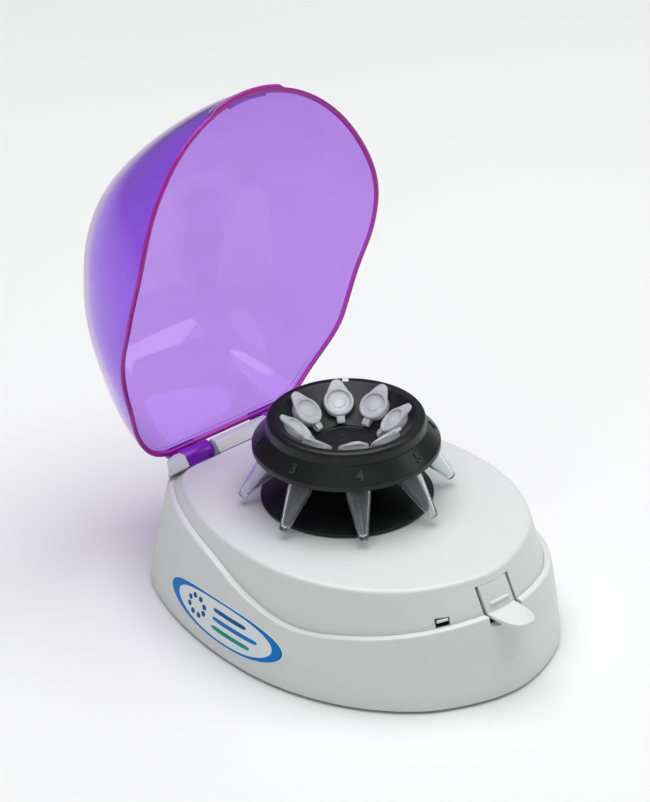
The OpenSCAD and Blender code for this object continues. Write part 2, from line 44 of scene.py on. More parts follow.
# ---------------------------------------------------------------- sizes, millimetres
BASE = (73.5, -12, 92.3, 122, 76)        # half width, widest line, reach in front, reach behind, rear edge
SEAM = (70.5, -15, 83.2, 107, 73)
DECK = (64.6, -12, 76.4, 97, 66.5)
CREASE = {BASE: 29.3, SEAM: 30.1, DECK: 32.6}   # bearing of the soft corner beside the front panel
SEAM_HEIGHTS = (36.8, 35.2, 31.8, 29.4, 34.6, 42.6, 45.9, 46.8, 46.8, 46.8)
DECK_Z = 51
WALL = 2.4
LEDGE = 3.1
FOOT_GAP = 0.08                           # between the ledge and the foot of the upper housing
BLEND = 9
STATIONS = 336
LID_TOP, LID_WALL, LID_OPEN, DOME_MID = 112, 2.4, 89, -9.5
HINGE_Y, HINGE_Z, RAIL_TOP = 73.3, 49.8, 55.3
KNUCKLE_X, KNUCKLE_W, KNUCKLE_R = (-24.3, 24.3), 16.5, 4.6
ROTOR_R, TILT, FIRST, SEAT_R, SEAT_Z, PLACES = 40.4, 40, 11.4, 21.95, 83.4, 8
TUBE_R, CAP_R, TAB_TIP, TAB_R, TIP_L = 5.3, 6.5, 10.2, 2.8, 37.1
TONGUE_W, SLOT_W, TAB_REACH = 15.6, 1.6, 17.5


# ---------------------------------------------------------------- outlines of the body
def inset(o, d):
    return (o[0] - d, o[1], o[2] - d, o[3] - d, o[4] - d)


def soft_min(v, limit):
    h = max(BLEND - abs(v - limit), 0) / BLEND
    return min(v, limit) - h * h * BLEND / 4


def outline_pt(o, t):
    c = math.cos(t)
    return o[0] * math.sin(t), soft_min(o[1] - c * (o[2] if c > 0 else o[3]), o[4])


def body_pt(key, d, t):
    """A point of the housing outline: like outline_pt, with a flatter front panel between two soft corners."""
    o = inset(key, d)
    turn = math.degrees(math.remainder(t, 2 * math.pi))
    corner = CREASE[key]
    reach = abs(turn)
    moved = turn + math.copysign((corner - 30) * (reach / 30 if reach < 30 else max(0, (60 - reach) / 30)), turn)
    x, y = outline_pt(o, rad(moved))
    if reach < 30.01:
        xc, yc = outline_pt(o, rad(corner))
        front = o[1] - o[2]
        y = front + (yc - front) * (abs(x) / xc) ** 1.8
    return x, y


def seam_at(deg):
    k = min(int(deg // 20), 8)
    h = SEAM_HEIGHTS
    a, b, c, d = h[1 if k == 0 else k - 1], h[k], h[k + 1], h[min(k + 2, 9)]
    u = deg / 20 - k
    return 0.5 * (2 * b + (c - a) * u + (2 * a - 5 * b + 4 * c - d) * u * u + (3 * b - a - 3 * c + d) * u ** 3)


def bearing(t):
    x, y = outline_pt(SEAM, t)
    return abs(math.degrees(math.atan2(x, -y)))


def seam_z(t):
    return seam_at(bearing(t))


def at(key, d, t, z):
    x, y = body_pt(key, d, t)
    return Vector((x, y, z))


def ease(v):
    v = min(max(v, 0), 1)
    return v * v * (3 - 2 * v)


def wall_pt(t, z, lift=0):
    """Outside of the lower housing at height z."""
    k = (z - 1.2) / (seam_z(t) - 2)
    out = lift + 0.35 * max(0, 1 - (2 * k - 1) ** 2)
    return at(BASE, 0, t, z).lerp(at(SEAM, 0, t, z), k) + out * Vector((math.sin(t), -math.cos(t), 0))


# ---------------------------------------------------------------- materials
def material(name, color, rough, vary=0.04, scale=260, grain=1800, bump=0.05, metallic=0,
             streak=None, dust=None, **shader):
    """Colour that drifts a little, roughness that drifts with it, and a fine moulded grain in the bump."""
    m = bpy.data.materials.new(name)
    m.use_nodes = True
    nt = m.node_tree
    p = nt.nodes["Principled BSDF"]
    link = nt.links.new
    place = nt.nodes.new("ShaderNodeTexCoord").outputs["Object"]
    if streak:
        mapping = nt.nodes.new("ShaderNodeMapping")
        mapping.inputs["Scale"].default_value = streak
        link(place, mapping.inputs["Vector"])
        place = mapping.outputs["Vector"]

    def noise(size, detail):
        n = nt.nodes.new("ShaderNodeTexNoise")
        n.inputs["Scale"].default_value = size
        n.inputs["Detail"].default_value = detail
        link(place, n.inputs["Vector"])
        return n.outputs["Fac"]

    ramp = nt.nodes.new("ShaderNodeValToRGB")
    ramp.color_ramp.elements[0].position = 0.3
    ramp.color_ramp.elements[1].position = 0.7
    for e, k in zip(ramp.color_ramp.elements, (1 - vary, 1 + vary)):
        e.color = [min(1, c * k) for c in color] + [1]
    link(noise(scale, 3), ramp.inputs["Fac"])
    shade = ramp.outputs["Color"]
    if dust:
        mix = nt.nodes.new("ShaderNodeMix")
        mix.data_type = "RGBA"
        spots = nt.nodes.new("ShaderNodeMapRange")
        spots.inputs["From Min"].default_value = 0.66
        spots.inputs["From Max"].default_value = 0.74
        spots.inputs["To Max"].default_value = 0.6
        link(noise(grain * 0.6, 1), spots.inputs["Value"])
        link(spots.outputs["Result"], mix.inputs["Factor"])
        link(shade, mix.inputs["A"])
        mix.inputs["B"].default_value = (*dust, 1)
        shade = mix.outputs["Result"]
    link(shade, p.inputs["Base Color"])
    spread = nt.nodes.new("ShaderNodeMapRange")
    spread.inputs["To Min"].default_value = rough * 0.82
    spread.inputs["To Max"].default_value = min(1, rough * 1.2)
    link(noise(scale * 2.3, 4), spread.inputs["Value"])
    link(spread.outputs["Result"], p.inputs["Roughness"])
    b = nt.nodes.new("ShaderNodeBump")
    b.inputs["Strength"].default_value = bump
    b.inputs["Distance"].default_value = 0.0002
    link(noise(grain, 2), b.inputs["Height"])
    link(b.outputs["Normal"], p.inputs["Normal"])
    p.inputs["Metallic"].default_value = metallic
    for key, value in shader.items():
        p.inputs[key.replace("_", " ")].default_value = value
    return m


M = {
    "white": material("white_abs", (0.725, 0.745, 0.735), 0.36, vary=0.008, scale=60, grain=2600, bump=0.05,
                      Coat_Weight=0.08, Coat_Roughness=0.2),
    "grey": material("grey_moulding", (0.42, 0.43, 0.43), 0.55, vary=0.05, scale=200, grain=1500, bump=0.25),
    "rubber": material("foot_rubber", (0.025, 0.025, 0.027), 0.8, vary=0.15, scale=500, grain=2200, bump=0.3,
                       dust=(0.12, 0.12, 0.12)),
    "steel": material("plated_steel", (0.62, 0.63, 0.64), 0.26, vary=0.06, scale=120, grain=900, bump=0.12,
                      metallic=1, streak=(1, 1, 14)),
    "black": material("black_moulding", (0.014, 0.014, 0.016), 0.42, vary=0.15, scale=300, grain=2000, bump=0.15),
    "magnet": material("ferrite", (0.05, 0.05, 0.055), 0.6, vary=0.2, scale=900, grain=3000, bump=0.3),
    "bronze": material("sintered_bronze", (0.55, 0.36, 0.16), 0.45, vary=0.12, scale=700, grain=4000,
                       bump=0.3, metallic=1),
    "copper": material("wound_copper", (0.55, 0.2, 0.08), 0.32, vary=0.15, scale=300, grain=1400,
                       bump=0.5, metallic=0.9, streak=(6, 6, 1)),
    "board": material("solder_mask", (0.012, 0.11, 0.045), 0.3, vary=0.25, scale=350, grain=900, bump=0.15,
                      dust=(0.25, 0.3, 0.15)),
    "lead": material("lead_insulation", (0.42, 0.02, 0.015), 0.5, vary=0.1, scale=400, grain=1800, bump=0.15),
    "rotor": material("rotor_black", (0.0065, 0.007, 0.0075), 0.36, vary=0.2, scale=220, grain=2400, bump=0.12,
                      Specular_IOR_Level=0.36),
    "lid": material("clear_violet", (0.52, 0.29, 0.87), 0.035, vary=0.03, scale=30, grain=160, bump=0.012,
                    Transmission_Weight=1, IOR=1.36),
    # Deeper magenta for the lid's rim strip: a painted edge glow, the light that the violet plastic carries out at its
    # edge shown as colour.
    "rim": material("clear_violet_painted_edge_glow", (0.58, 0.025, 0.5), 0.16, vary=0.1, scale=70, grain=400, bump=0.05,
                    Transmission_Weight=0.4, IOR=1.46),
    "barrel": material("clear_violet_barrel", (0.4, 0.04, 0.78), 0.12, vary=0.08, scale=60, grain=300, bump=0.05,
                       Transmission_Weight=0.5, IOR=1.4),
    "cap": material("natural_pp_cap", (0.94, 0.98, 1.0), 0.24, vary=0.02, scale=120, grain=1200, bump=0.06,
                    Transmission_Weight=0.5, IOR=1.4, Subsurface_Weight=0.4, Subsurface_Scale=0.0015,
                    Subsurface_Radius=(1, 1, 1)),
    "tube": material("natural_pp", (0.93, 0.96, 0.98), 0.14, vary=0.02, scale=120, grain=1200, bump=0.06,
                     Transmission_Weight=0.95, IOR=1.3),
    # The numbers are a touch lighter than the rotor black: painted light, standing in for the light their low relief
    # catches on the same black plastic.
    "digit": material("digit_black_painted_light", (0.017, 0.018, 0.019), 0.5, vary=0.1, scale=220, grain=2400, bump=0.1),
    "pale": material("badge_pale", (0.8, 0.86, 0.87), 0.4, vary=0.005, scale=150, grain=1800, bump=0.04),
    "deep": material("badge_deep_blue", (0.004, 0.11, 0.33), 0.5, vary=0.1, scale=60, grain=1800,
                     bump=0.04, Specular_IOR_Level=0.15),
    "blue": material("badge_blue", (0.0, 0.2, 0.64), 0.5, vary=0.12, scale=60, grain=1800,
                     bump=0.04, Specular_IOR_Level=0.15),
    "cyan": material("badge_teal", (0.01, 0.32, 0.3), 0.5, vary=0.12, scale=60, grain=1800,
                     bump=0.04, Specular_IOR_Level=0.15),
    "mark": material("paint_mark", (0.8, 0.8, 0.78), 0.5, vary=0.05, scale=900, grain=3000, bump=0.2),
}


# ---------------------------------------------------------------- mesh helpers
def solid(name, verts, faces, mats, angle=32, where=None):
    """A mesh from points in millimetres."""
    me = bpy.data.meshes.new(name)
    if where is not None:
        verts = [where @ Vector(v) for v in verts]
    me.from_pydata([Vector(v) * MM for v in verts], [], faces)
    for m in mats if isinstance(mats, (list, tuple)) else [mats]:
        me.materials.append(m)
    me.validate()
    bm = bmesh.new()
    bm.from_mesh(me)
    bmesh.ops.recalc_face_normals(bm, faces=bm.faces)
    bm.to_mesh(me)
    bm.free()
    me.shade_smooth()
    me.set_sharp_from_angle(angle=rad(angle))
    o = bpy.data.objects.new(name, me)
    scene.collection.objects.link(o)
    return o


def loft_faces(n, k, closed_round=True, caps=False, start=0):
    """Faces between n rings of k points each."""
    faces = []
    for i in range(n if closed_round else n - 1):
        for j in range(k):
            a, b = start + i * k + j, start + i * k + (j + 1) % k
            c, d = start + ((i + 1) % n) * k + (j + 1) % k, start + ((i + 1) % n) * k + j
            faces.append((a, b, c, d))
    if caps:
        faces.append(tuple(start + j for j in range(k - 1, -1, -1)))
        faces.append(tuple(start + (n - 1) * k + j for j in range(k)))
    return faces


def fillet(points, steps=5):
    """A closed profile with its corners rounded; each point is (x, y, radius)."""
    out = []
    n = len(points)
    for i in range(n):
        p, a, b = (Vector(points[j % n][:2]) for j in (i, i - 1, i + 1))
        r = points[i][2]
        ta, tb = (a - p), (b - p)
        if r <= 0:
            out.append(p)
            continue
        half = ta.angle(tb) / 2
        cut = min(r / math.tan(half), ta.length * 0.49, tb.length * 0.49)
        s, e = p + ta.normalized() * cut, p + tb.normalized() * cut
        for j in range(steps + 1):
            u = j / steps
            out.append(s * (1 - u) ** 2 + p * 2 * u * (1 - u) + e * u * u)
    return out


def lathe(name, profile, mats, n=160, where=None, angle=32):
    verts = [(p[0] * math.cos(2 * math.pi * i / n), p[0] * math.sin(2 * math.pi * i / n), p[1])
             for i in range(n) for p in profile]
    return solid(name, verts, loft_faces(n, len(profile)), mats, angle, where)


def prism(name, plan, height, mats, where=None, bevel=0.3, angle=32):
    """A plan outline raised to a height, with its edges rounded."""
    k = len(plan)
    verts = [(p[0], p[1], z) for z in (0, height) for p in plan]
    o = solid(name, verts, loft_faces(2, k, closed_round=False, caps=True), mats, angle, where)
    return soften(o, bevel, angle)


def settle(o):
    """Turns an object's modifiers into its mesh."""
    deps = bpy.context.evaluated_depsgraph_get()
    me = bpy.data.meshes.new_from_object(o.evaluated_get(deps))
    o.modifiers.clear()
    o.data = me
    return o


def soften(o, width, angle=32, segments=3):
    if width > 0:
        b = o.modifiers.new("bevel", "BEVEL")
        b.width, b.segments, b.limit_method, b.angle_limit = width * MM, segments, "ANGLE", rad(28)
        settle(o)
    o.data.shade_smooth()
    o.data.set_sharp_from_angle(angle=rad(angle))
    return o


def cut(o, cutters, angle=32):
    for c in cutters:
        b = o.modifiers.new("cut", "BOOLEAN")
        b.object, b.operation, b.solver = c, "DIFFERENCE", "EXACT"
    settle(o)
    for c in cutters:
        bpy.data.objects.remove(c)
    o.data.shade_smooth()
    o.data.set_sharp_from_angle(angle=rad(angle))
    return o


def block(name, lo, hi, mats, where=None, bevel=0.0):
    plan = [(lo[0], lo[1]), (hi[0], lo[1]), (hi[0], hi[1]), (lo[0], hi[1])]
    lift = Matrix.Translation((0, 0, lo[2]))
    return prism(name, plan, hi[2] - lo[2], mats, lift if where is None else where @ lift, bevel)


def rod(name, r, length, mats, where, n=48, ends=0.3):
    profile = fillet([(0, 0, 0), (r, 0, ends), (r, length, ends), (0, length, 0)], 4)
    k = len(profile)
    verts = [(p[0] * math.cos(2 * math.pi * i / n), p[0] * math.sin(2 * math.pi * i / n), p[1])
             for i in range(n) for p in profile]
    o = solid(name, verts, loft_faces(n, k), mats, 32, where)
    return o


def join(name, objs):
    with bpy.context.temp_override(active_object=objs[0], selected_editable_objects=objs, selected_objects=objs):
        bpy.ops.object.join()
    objs[0].name = name
    return objs[0]


def keep(o, body, slot, *nodes):
    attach(o, body)
    if nodes:
        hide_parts(*nodes)
    return o


TURNS = [2 * math.pi * i / STATIONS for i in range(STATIONS)]


# ---------------------------------------------------------------- lower housing
def lower_ring(t):
    zs = seam_z(t)
    pts = [at(BASE, 1.3, t, 0), at(BASE, 0.7, t, 0.12), at(BASE, 0.25, t, 0.5), wall_pt(t, 1.3)]
    pts += [wall_pt(t, 1.3 + (zs - 2.4) * k / 7) for k in range(1, 7)]
    pts += [wall_pt(t, zs - 1.1), at(SEAM, 0.06, t, zs - 0.7), at(SEAM, 0.25, t, zs - 0.32),
            at(SEAM, 0.6, t, zs - 0.08), at(SEAM, 1.1, t, zs), at(SEAM, LEDGE - 0.1, t, zs - 0.02),
            at(SEAM, LEDGE, t, zs - 0.2), at(SEAM, LEDGE, t, zs - 3),
            at(BASE, WALL + 0.6, t, 0)]
    return pts


INLET_X, INLET_Z, INLET_R, ROCKER_X, ROCKER_Z, ROCKER_W, ROCKER_H = 24, 15, 5.6, -24, 16, 13, 19


def knuckle_gaps():
    return [block("gap", (x - KNUCKLE_W / 2 - 0.4, 64.7, HINGE_Z - KNUCKLE_R - 0.4),
                  (x + KNUCKLE_W / 2 + 0.4, 84.7, 65), M["white"]) for x in KNUCKLE_X]


rings = [lower_ring(t) for t in TURNS]
lower = solid("lower_shell", [p for r in rings for p in r], loft_faces(STATIONS, len(rings[0])), M["white"], 40)
cut(lower, knuckle_gaps() + [
    block("notch", (-TONGUE_W / 2 - SLOT_W, -110, 31.8), (TONGUE_W / 2 + SLOT_W, -80, 52), M["white"]),
    rod("hole", INLET_R + 0.2, 30, M["white"],
        Matrix.Translation((INLET_X, 60, INLET_Z)) @ Matrix.Rotation(rad(-90), 4, "X")),
    block("hole", (ROCKER_X - ROCKER_W / 2 - 0.1, 60, ROCKER_Z - ROCKER_H / 2 - 0.1),
          (ROCKER_X + ROCKER_W / 2 + 0.1, 90, ROCKER_Z + ROCKER_H / 2 + 0.1), M["white"])], 30)
keep(lower, "base", "white_shell", "lower_housing")


# ---------------------------------------------------------------- upper housing
def slope_pt(t, z, lift=0):
    """Outside of the upper housing, between its foot on the ledge and the deck's edge."""
    zs = seam_z(t)
    k = (z - zs) / (DECK_Z - 1.8 - zs)
    p = at(SEAM, LEDGE + FOOT_GAP, t, z).lerp(at(DECK, 0, t, z), k)
    return p + lift * Vector((math.sin(t), -math.cos(t), 0.4)).normalized()


HUB_HOLE_R = 17


def upper_ring(t):
    zs = seam_z(t)
    top = DECK_Z - 1.8
    hub = Vector((HUB_HOLE_R * math.sin(t), -HUB_HOLE_R * math.cos(t), 0))
    pts = [at(SEAM, LEDGE + FOOT_GAP + WALL, t, zs - 3), at(SEAM, LEDGE + FOOT_GAP, t, zs - 3)]
    pts += [slope_pt(t, zs + (top - zs) * k / 6) for k in range(7)]
    pts += [at(DECK, 0.22, t, DECK_Z - 1.2), at(DECK, 0.62, t, DECK_Z - 0.66), at(DECK, 1.2, t, DECK_Z - 0.26),
            at(DECK, 1.9, t, DECK_Z - 0.06), at(DECK, 2.7, t, DECK_Z)]
    deck_in = at(DECK, 2.7, t, DECK_Z)
    pts += [deck_in.lerp(hub + Vector((0, 0, DECK_Z)), k) for k in (0.2, 0.5, 0.8)]
    pts += [hub * 1.04 + Vector((0, 0, DECK_Z)), hub + Vector((0, 0, DECK_Z - 0.6)),
            hub + Vector((0, 0, DECK_Z - WALL)),
            at(DECK, WALL + 1.2, t, DECK_Z - WALL)]
    return pts


def window_place():
    return Matrix.Rotation(rad(-17), 4, "Z") @ Matrix.Translation((0, -91.3, 35.2))


rings = [upper_ring(t) for t in TURNS]
upper = solid("upper_shell", [p for r in rings for p in r], loft_faces(STATIONS, len(rings[0])), M["white"], 40)
cut(upper, knuckle_gaps() + [
    block("opening", (-TONGUE_W / 2 - SLOT_W, -110, 30.8), (TONGUE_W / 2 + SLOT_W, -80, 47.4), M["white"]),
    block("window", (-3.2, -8, 0), (3.2, 12, 3.8), M["white"], window_place())], 30)
posts = [rod("post", 4, 46, M["white"], Matrix.Translation((x, y, 3)), ends=0.1)
         for x, y in ((46, 38), (-46, 38), (40, -56), (-40, -56))]
upper = join("upper_shell", [upper] + posts)
keep(upper, "base", "white_shell", "upper_housing")


# ---------------------------------------------------------------- latch tongue with its ridge and thumb tab
def turn_at(x, z):
    """Bearing parameter of the front wall above a given x."""
    lo, hi = -0.5, 0.5
    for _ in range(40):
        mid = (lo + hi) / 2
        if slope_pt(mid, z).x < x:
            lo = mid
        else:
            hi = mid
    return lo


cols, rows, thick = 16, 14, 2.1
grid = []
for depth in (0, 1):
    for j in range(rows + 1):
        z = 34.8 + (47.2 - 34.8) * j / rows
        for i in range(cols + 1):
            x = TONGUE_W * (i / cols - 0.5)
            p = slope_pt(turn_at(x, z), z)
            groove = 0.12 * math.exp(-((z - 46.4) / 0.5) ** 2)
            # The back stops lower, so that it clears the opening when the tongue bends
            grid.append(Vector((x, p.y + (groove if depth == 0 else thick), z - 0.3 * depth * j / rows)))
w = cols + 1
size = w * (rows + 1)
faces = []
for j in range(rows):
    for i in range(cols):
        a = j * w + i
        faces += [(a, a + 1, a + 1 + w, a + w), (size + a, size + a + w, size + a + w + 1, size + a + 1)]
edge = [i for i in range(w)] + [j * w + cols for j in range(1, rows + 1)] \
    + [rows * w + i for i in range(cols - 1, -1, -1)] \
    + [j * w for j in range(rows - 1, 0, -1)]
faces += [(edge[(i + 1) % len(edge)], edge[i], edge[i] + size, edge[(i + 1) % len(edge)] + size)
          for i in range(len(edge))]
tongue = soften(solid("latch_plate", grid, faces, M["white"]), 0.12)
ridge = rod("ridge", 0.8, 10.2, M["white"],
            Matrix.Translation((-5.3, -93.5, 39.8)) @ Matrix.Rotation(rad(90), 4, "Y"), ends=0.8)
plan = [(TONGUE_W / 2 * math.copysign(abs(math.cos(rad(a))) ** 0.75, math.cos(rad(a))),
         -TAB_REACH * abs(math.sin(rad(a))) ** 0.7) for a in range(0, -181, -6)]
plan += [(-TONGUE_W / 2, 1.5), (TONGUE_W / 2, 1.5)]
tab = prism("tab", plan[::-1], 1.9, M["white"], Matrix.Translation((0, -93.8, 34.78)), 0.6)
keep(join("latch_tongue_part", [tongue, ridge, tab]), "latch", "white_shell", "latch_tongue")


# ---------------------------------------------------------------- hinge rail
def extrude_x(name, profile, x0, x1, mats, bevel=0.35):
    """A profile in the YZ plane run from x0 to x1."""
    turn = Matrix(((0, 0, 1, 0), (1, 0, 0, 0), (0, 1, 0, 0), (0, 0, 0, 1)))
    return prism(name, profile, x1 - x0, mats, Matrix.Translation((x0, 0, 0)) @ turn, bevel)


low_z = HINGE_Z - 2.9
rail_profile = [(65.2, DECK_Z), (68.2, 54.8), (68.9, RAIL_TOP), (72.1, RAIL_TOP), (73, 54.4), (73, low_z),
                (69.7, low_z), (66.6, 49.7), (66.2, 50.65)]
ear_profile = [(HINGE_Y - 3, HINGE_Z + 3.4), (HINGE_Y, HINGE_Z + 3.4), (HINGE_Y + 2.4, HINGE_Z + 2.4),
               (HINGE_Y + 3.4, HINGE_Z),
               (HINGE_Y + 2.4, HINGE_Z - 2.4), (HINGE_Y + 0.5, low_z), (HINGE_Y - 3, low_z)]
gap = KNUCKLE_W / 2 + 0.4
spans = [(-43, KNUCKLE_X[0] - gap), (KNUCKLE_X[0] + gap, KNUCKLE_X[1] - gap), (KNUCKLE_X[1] + gap, 43)]
rail = [extrude_x("rail", rail_profile, a, b, M["white"], 0.5) for a, b in spans]
corner = [(44, 60), (44, 67.6), (35, 73.4), (44, 80)]
for side, o in ((-1, rail[0]), (1, rail[2])):
    plan = [(side * x, y) for x, y in (corner[::-1] if side > 0 else corner)]
    cut(o, [prism("trim", plan, 80, M["white"], bevel=0)])
ears = []
for x in KNUCKLE_X:
    for side in (-1, 1):
        mid = x + side * (gap + 2)
        ears.append(extrude_x("ear", ear_profile, mid - 2, mid + 2, M["white"], 0.4))
keep(join("hinge_rail_part", rail + ears), "base", "white_shell", "hinge_rail")


# ---------------------------------------------------------------- lid
def rim_z(t):
    return seam_z(t) + 0.3 + (RAIL_TOP - SEAM_HEIGHTS[9] + 0.1) * ease((bearing(t) - 118) / 29)


FRONT_CURVE, SIDE_CURVE, REAR_CURVE = (1.76, 1.22), (2.77, 1.42), (3.16, 1.2)


def dome_pt(skin, t, h, lift=0):
    c = math.cos(t)
    f, r = (c * c if c > 0 else 0), (c * c if c < 0 else 0)
    p, q = (f * a + r * b + (1 - f - r) * s for a, b, s in zip(FRONT_CURVE, REAR_CURVE, SIDE_CURVE))
    s = max(1 - h ** q, 0) ** (1 / p)
    x, y = outline_pt(inset(SEAM, skin - lift), t)
    z = rim_z(t)
    return Vector((x * s, DOME_MID + (y - DOME_MID) * s, z + (LID_TOP - skin - z) * h))


OPENED = Matrix.Translation((0, HINGE_Y, HINGE_Z)) @ Matrix.Rotation(rad(-LID_OPEN), 4, "X") \
    @ Matrix.Translation((0, -HINGE_Y, -HINGE_Z))


def lip(t, h):
    """How far the lid's front lip stands out over the latch."""
    turn = abs(math.degrees(math.remainder(t, 2 * math.pi)))
    return 1.3 * ease((17 - turn) / 3) * ease((0.06 - h) / 0.03)


LEVELS = 60
round_rim = ((0.0, 0.9), (0.12, 0.45), (0.42, 0.12), (0.85, 0.0), (1.55, 0.0), (1.98, 0.12), (2.28, 0.45), (2.4, 0.9))
verts, faces = [], []
for t in TURNS:
    z = rim_z(t)
    span = LID_TOP - z
    ring = [dome_pt(0, t, math.sin(math.pi / 2 * i / LEVELS), lip(t, math.sin(math.pi / 2 * i / LEVELS)))
            for i in range(LEVELS - 1, 1, -1)]
    ring += [dome_pt(0, t, k / span, lip(t, k / span)) for k in (3.2, 1.8, 1.2)]
    ring += [dome_pt(skin, t, up / span, lip(t, 0) * (1 - skin / 2.4)) for skin, up in round_rim]
    ring += [dome_pt(LID_WALL, t, k / span) for k in (1.2, 1.8, 3.2)]
    ring += [dome_pt(LID_WALL, t, math.sin(math.pi / 2 * i / LEVELS)) for i in range(2, LEVELS)]
    verts += ring
k = len(ring)
edge_from, edge_to = LEVELS, LEVELS + 1 + len(round_rim)      # the coloured rim within a ring
for i in range(STATIONS):
    for j in range(k - 1):
        a, b = i * k + j, i * k + j + 1
        c, d = ((i + 1) % STATIONS) * k + j + 1, ((i + 1) % STATIONS) * k + j
        faces.append((a, d, c, b))
tips = len(verts)
verts += [Vector((0, DOME_MID, LID_TOP)), Vector((0, DOME_MID, LID_TOP - LID_WALL))]
faces += [(tips, ((i + 1) % STATIONS) * k, i * k) for i in range(STATIONS)]
faces += [(tips + 1, i * k + k - 1, ((i + 1) % STATIONS) * k + k - 1) for i in range(STATIONS)]
dome = solid("lid_shell", verts, faces, [M["lid"], M["rim"]], 60, OPENED)
# The rim strip takes the deeper magenta of the painted edge glow.
for f in dome.data.polygons:
    levels = [v % k for v in f.vertices if v < tips]
    if levels and min(levels) >= edge_from and max(levels) <= edge_to:
        f.material_index = 1
keep(dome, "lid", "clear_violet", "lid_dome", "lid_lip")

catch_profile = ((0.05, 0), (0.3, 1), (0.9, 0.95), (1.1, 0.75), (1.1, 0.25), (0.9, 0.05))      # inwards, upwards
catch = []
for i in range(-8, 9):
    t = rad(i * 1.0715)
    out = Vector((math.sin(t), -math.cos(t), 0))
    p = dome_pt(LID_WALL, t, 0.004)
    catch.append([p - d * out + Vector((0, 0, z)) for d, z in catch_profile])
catch_faces = loft_faces(len(catch), len(catch_profile), closed_round=False, caps=True)
keep(solid("lid_catch", [p for r in catch for p in r], catch_faces, M["lid"], 32, OPENED), "lid", "clear_violet")

# Knuckles: a barrel round the pin with a plate that runs up the back of the dome
knuckles = []
for x in KNUCKLE_X:
    arc = [(HINGE_Y + KNUCKLE_R * math.cos(rad(a)), HINGE_Z + KNUCKLE_R * math.sin(rad(a)))
           for a in range(24, -214, -8)]
    plate = [(HINGE_Y - 0.28, 54.9), (HINGE_Y - 0.28, 60.2), (HINGE_Y + 0.2, 60.8), (HINGE_Y + 1.2, 60.6),
             (HINGE_Y + 2.1, 59.4), (HINGE_Y + 2.1, 55.2)]
    profile = [p for p in arc if p[1] < 53.9 or p[0] < HINGE_Y - 0.4] + plate
    o = extrude_x("knuckle", profile[::-1], x - KNUCKLE_W / 2, x + KNUCKLE_W / 2, M["barrel"], 0.45)
    bore = rod("bore", 1.3, 2 * KNUCKLE_W, M["lid"],
               Matrix.Translation((x - KNUCKLE_W, HINGE_Y, HINGE_Z)) @ Matrix.Rotation(rad(90), 4, "Y"))
    slots = [block("slot", (x + s * 4.6 - 1.4, 60, 56), (x + s * 4.6 + 1.4, HINGE_Y + 0.9, 58.8), M["lid"])
             for s in (-1, 1)]
    cut(o, [bore] + slots)
    knuckles.append(o)
barrels = join("lid_knuckle_pair", knuckles)
barrels.data.transform(Matrix.Scale(MM, 4) @ OPENED @ Matrix.Scale(1 / MM, 4))
keep(barrels, "lid", "clear_violet", "lid_knuckles")


# ---------------------------------------------------------------- rotor
def tube_place(i):
    return Matrix.Rotation(rad(FIRST + 45 * i - 90), 4, "Z") @ Matrix.Translation((SEAT_R, 0, SEAT_Z)) \
        @ Matrix.Rotation(rad(-TILT), 4, "Y")


head_profile = fillet([
    (2.5, 62.4, 0), (9, 62.4, 0.5), (9.6, 65.4, 2), (13, 71.5, 3), (31, 78.6, 4), (38.6, 75.8, 2), (39.7, 75.2, 0.4),
    (ROTOR_R, 75.6, 0.4), (ROTOR_R, 77.9, 0.7), (34.4, 84.8, 1.6), (33.9, 90.1, 3.2), (29.9, 90.1, 2.4),
    (14.5, 77, 2.4), (13.2, 77, 0.4),
    (12.9, 76.8, 0.3), (0, 76.8, 0), (0, 73.4, 0), (2.5, 73.4, 0)], 6)
head = lathe("rotor_bowl", head_profile, M["rotor"], 224)
cutters = []
for i in range(PLACES):
    place = tube_place(i)
    cutters.append(rod("bore", TUBE_R + 0.1, 40, M["rotor"], place @ Matrix.Translation((0, 0, -30)), 64))
    cutters.append(rod("spot", CAP_R + 0.25, 8, M["rotor"], place, 64, ends=0.01))
cut(head, cutters, 36)
keep(head, "rotor", "rotor_black", "rotor_head")

pips = [lathe("pip", fillet([(0, 0, 0), (0.9, 0, 0), (0.8, 0.45, 0.3), (0, 0.5, 0)], 3), M["rotor"], 24,
              Matrix.Rotation(rad(60 * i + 12), 4, "Z") @ Matrix.Translation((5.2, 0, 76.8))) for i in range(6)]
keep(join("bowl_pips", pips), "rotor", "rotor_black")

digits = []
for i in range(PLACES):
    curve = bpy.data.curves.new("digit", "FONT")
    curve.body = str((i + 4) % 8 + 1)
    curve.size, curve.extrude, curve.bevel_depth, curve.offset = 6.3 * MM, 0.28 * MM, 0.08 * MM, 0.16 * MM
    curve.align_x, curve.align_y = "CENTER", "CENTER"
    temp = bpy.data.objects.new("digit", curve)
    scene.collection.objects.link(temp)
    me = bpy.data.meshes.new_from_object(temp.evaluated_get(bpy.context.evaluated_depsgraph_get()))
    bpy.data.objects.remove(temp)
    b = rad(FIRST + 45 * i)
    out = Vector((math.sin(b), -math.cos(b), 0))
    right = Vector((math.cos(b), math.sin(b), 0))
    fall = math.atan2(84.8 - 77.9, ROTOR_R - 34.4)
    up = -out * math.cos(fall) + Vector((0, 0, math.sin(fall)))
    normal = out * math.sin(fall) + Vector((0, 0, math.cos(fall)))
    spot = (out * 37.5 + Vector((0, 0, 81.23)) + normal * 0.1) * MM
    frame_of = Matrix((right, up, normal)).transposed().to_4x4()
    me.transform(Matrix.Translation(spot) @ frame_of)
    # The numbers take the lighter black of the painted light.
    me.materials.clear()
    me.materials.append(M["digit"])
    o = bpy.data.objects.new("digit_%d" % i, me)
    scene.collection.objects.link(o)
    digits.append(o)
keep(join("place_numbers", digits), "rotor", "rotor_black")
mark = block("balance_mark", (-1.4, 29.6, 89.85), (1.4, 33.2, 90.22), M["mark"],
             Matrix.Rotation(rad(-42), 4, "Z"), 0.12)
keep(mark, "rotor", "rotor_black")

